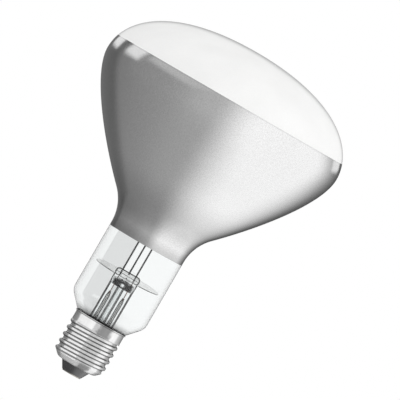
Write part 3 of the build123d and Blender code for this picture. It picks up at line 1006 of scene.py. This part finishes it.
class LAMP_OT_stage(bpy.types.Operator):
    """Set the lamp over a pale floor with soft light and a camera"""

    bl_idname = "lamp.stage"
    bl_label = "Stage"

    def lay_floor(self, stage, colours):
        """A round floor with the lamp's shadow on it, which metal and glass don't show."""
        bm = bmesh.new()
        bmesh.ops.create_circle(bm, cap_ends=True, segments=96, radius=stage.floor_radius)
        bmesh.ops.translate(bm, verts=bm.verts[:], vec=(0, 0, -stage.floor_drop))
        mesh = bpy.data.meshes.new("floor")
        bm.to_mesh(mesh)
        bm.free()
        floor = bpy.data.objects.new("floor", mesh)
        bpy.context.scene.collection.objects.link(floor)
        mesh.materials.append(pale_floor(colours))
        floor.visible_glossy = False
        floor.visible_transmission = False

    def pane(self, room, depth, height, side_edges, rise, strength):
        """A bright window pane between two depths, which rises out of the dark between two heights."""
        start, end = side_edges
        frame_width = 0.03
        opens = room.fade(depth, start, start + frame_width)
        closes = room.fade(depth, end - frame_width, end, 1.0, 0.0)
        return room.product(opens, closes, room.fade(height, *rise, 0.0, strength))

    def studio(self, room):
        """What bright metal mirrors: dim on the left, bright on the right, with three window panes."""
        place = room.split("Generated")
        across, depth, height = (place[axis] for axis in "XYZ")
        dim_side = room.fade(across, -1.05, -0.15, 0.262, 0.44)
        sides = room.maths("ADD", dim_side, room.fade(across, -0.16, 0.54, 0.0, 0.55))
        left = room.product(room.fade(depth, -0.3, 0.85, 1.0, 0.6), room.fade(depth, 0.46, 0.66, 1.0, 0.55))
        left = room.choose(room.fade(height, -0.75, -0.4, 0.3, 0.0), left, 1.0)
        left = room.product(left, room.fade(height, -1.0, -0.2, 0.82, 1.0))
        right = room.fade(depth, 0.28, 1.02, 1.0, 0.11)
        right = room.choose(room.fade(height, -0.75, -0.2, 0.65, 0.0), right, 1.0)
        light = room.product(sides, room.choose(room.fade(across, -0.2, 0.2), left, right))
        for side_edges, rise, strength in (
            ((-0.82, 0.04), (0.05, 0.42), 0.47),
            ((0.11, 0.53), (-0.03, 0.2), 0.78),
            ((0.71, 0.94), (0.0, 0.1), 0.80),
        ):
            pane = self.pane(room, depth, height, side_edges, rise, strength)
            light = room.maths("MAXIMUM", light, pane)
        return light

    def grey_card(self, room):
        """What clear glass shows: white, with a pale grey card far behind the left of the neck."""
        place = room.split("Generated")
        card = room.product(
            room.fade(place["X"], -0.066, -0.062, 0.0, 0.31),
            room.fade(place["X"], -0.011, -0.008, 1.0, 0.0),
            room.fade(place["Y"], 0.7, 0.8),
        )
        return room.fade(card, 0.0, 1.0, 1.0, 0.0)

    def light_room(self):
        """A pale room that is white to the camera, a grey card through glass and a studio in metal."""
        world = bpy.data.worlds.new("studio")
        bpy.context.scene.world = world
        world.use_nodes = True
        room = Shading(world.node_tree)
        path = room.nodes.new("ShaderNodeLightPath").outputs
        light = room.choose(path["Is Glossy Ray"], 1.0, self.studio(room))
        light = room.choose(path["Is Transmission Ray"], light, self.grey_card(room))
        sky = room.nodes["Background"]
        sky.inputs["Color"].default_value = (1.0, 1.0, 1.0, 1.0)
        room.links.new(room.choose(path["Is Camera Ray"], light, 1.0), sky.inputs["Strength"])

    def hang_lamp(self, name, place, target, size, power, mirrored_by=None):
        """A soft light from one place to another, or a card that only one piece mirrors."""
        light = bpy.data.lights.new(name, "AREA")
        light.shape = "RECTANGLE"
        light.size, light.size_y = size
        light.energy = power
        lamp = bpy.data.objects.new(name, light)
        way = Vector(target) - Vector(place)
        lamp.matrix_world = Matrix.Translation(place) @ way.to_track_quat("-Z", "Y").to_matrix().to_4x4()
        lamp.visible_glossy = bool(mirrored_by)
        lamp.visible_diffuse = not mirrored_by
        if mirrored_by:
            mirrors = bpy.data.collections.new(name)
            mirrors.objects.link(bpy.data.objects[mirrored_by])
            lamp.light_linking.receiver_collection = mirrors
        bpy.context.scene.collection.objects.link(lamp)

    def set_camera(self, stage):
        """A long lens in front of the lamp, turned so that the lamp leans in the picture."""
        view = bpy.data.cameras.new("photo_view")
        view.lens = view.sensor_width * stage.distance / stage.view_width
        view.clip_end = stage.distance * 5
        camera = bpy.data.objects.new("photo_view", view)
        aim = Vector((stage.aim_x, 0.0, stage.aim_z))
        eye = Vector((stage.aim_x, -stage.distance, stage.eye_z))
        ahead = (aim - eye).normalized()
        upright = Vector((-sin(stage.lean), 0.0, cos(stage.lean)))
        right = ahead.cross(upright).normalized()
        up = right.cross(ahead)
        turn = Matrix((right, up, -ahead)).transposed().to_4x4()
        camera.matrix_world = Matrix.Translation(eye) @ turn
        bpy.context.scene.collection.objects.link(camera)
        bpy.context.scene.camera = camera

    def execute(self, context):
        stage = context.scene.lamp_stage
        self.lay_floor(stage, context.scene.lamp_finish)
        self.light_room()
        self.hang_lamp("key_box", place=(0.9, -0.7, 0.5), target=(0, 0, 0.1), size=(0.7, 0.7), power=2.0)
        self.hang_lamp(
            "cap_card",
            place=(-0.049, -0.034, 0.0135),
            target=(0, 0, 0.0135),
            size=(0.10, 0.037),
            power=0.0075,
            mirrored_by="screw_cap",
        )
        self.set_camera(stage)
        context.scene.view_settings.view_transform = "Standard"
        return {"FINISHED"}


class LAMP_PT_panel(bpy.types.Panel):
    """Lists the lamp's pieces in the order in which they are made"""

    bl_idname = "LAMP_PT_panel"
    bl_label = "Reflector Lamp"
    bl_space_type = "VIEW_3D"
    bl_region_type = "UI"
    bl_category = "Lamp"

    def draw(self, context):
        for operator in OPERATORS:
            self.layout.operator(operator.bl_idname)


OPERATORS = (LAMP_OT_bulb_glass, LAMP_OT_screw_cap, LAMP_OT_coil, LAMP_OT_inner_finishes, LAMP_OT_stage)
SETTINGS = {
    "lamp_glass": LampGlassSettings,
    "lamp_cap": LampCapSettings,
    "lamp_stem": LampStemSettings,
    "lamp_coil": LampCoilSettings,
    "lamp_finish": LampFinishSettings,
    "lamp_stage": LampStageSettings,
}


def register():
    for group in SETTINGS.values():
        bpy.utils.register_class(group)
    for name, group in SETTINGS.items():
        setattr(bpy.types.Scene, name, bpy.props.PointerProperty(type=group))
    for cls in (*OPERATORS, LAMP_PT_panel):
        bpy.utils.register_class(cls)


def unregister():
    for cls in (LAMP_PT_panel, *reversed(OPERATORS)):
        bpy.utils.unregister_class(cls)
    for name in reversed(SETTINGS):
        delattr(bpy.types.Scene, name)
    for group in reversed(SETTINGS.values()):
        bpy.utils.unregister_class(group)


def main():
    register()
    bpy.ops.lamp.bulb_glass()
    bpy.ops.lamp.screw_cap()
    bpy.ops.lamp.coil()
    bpy.ops.lamp.inner_finishes()
    bpy.ops.lamp.stage()


if __name__ == "__main__":
    main()
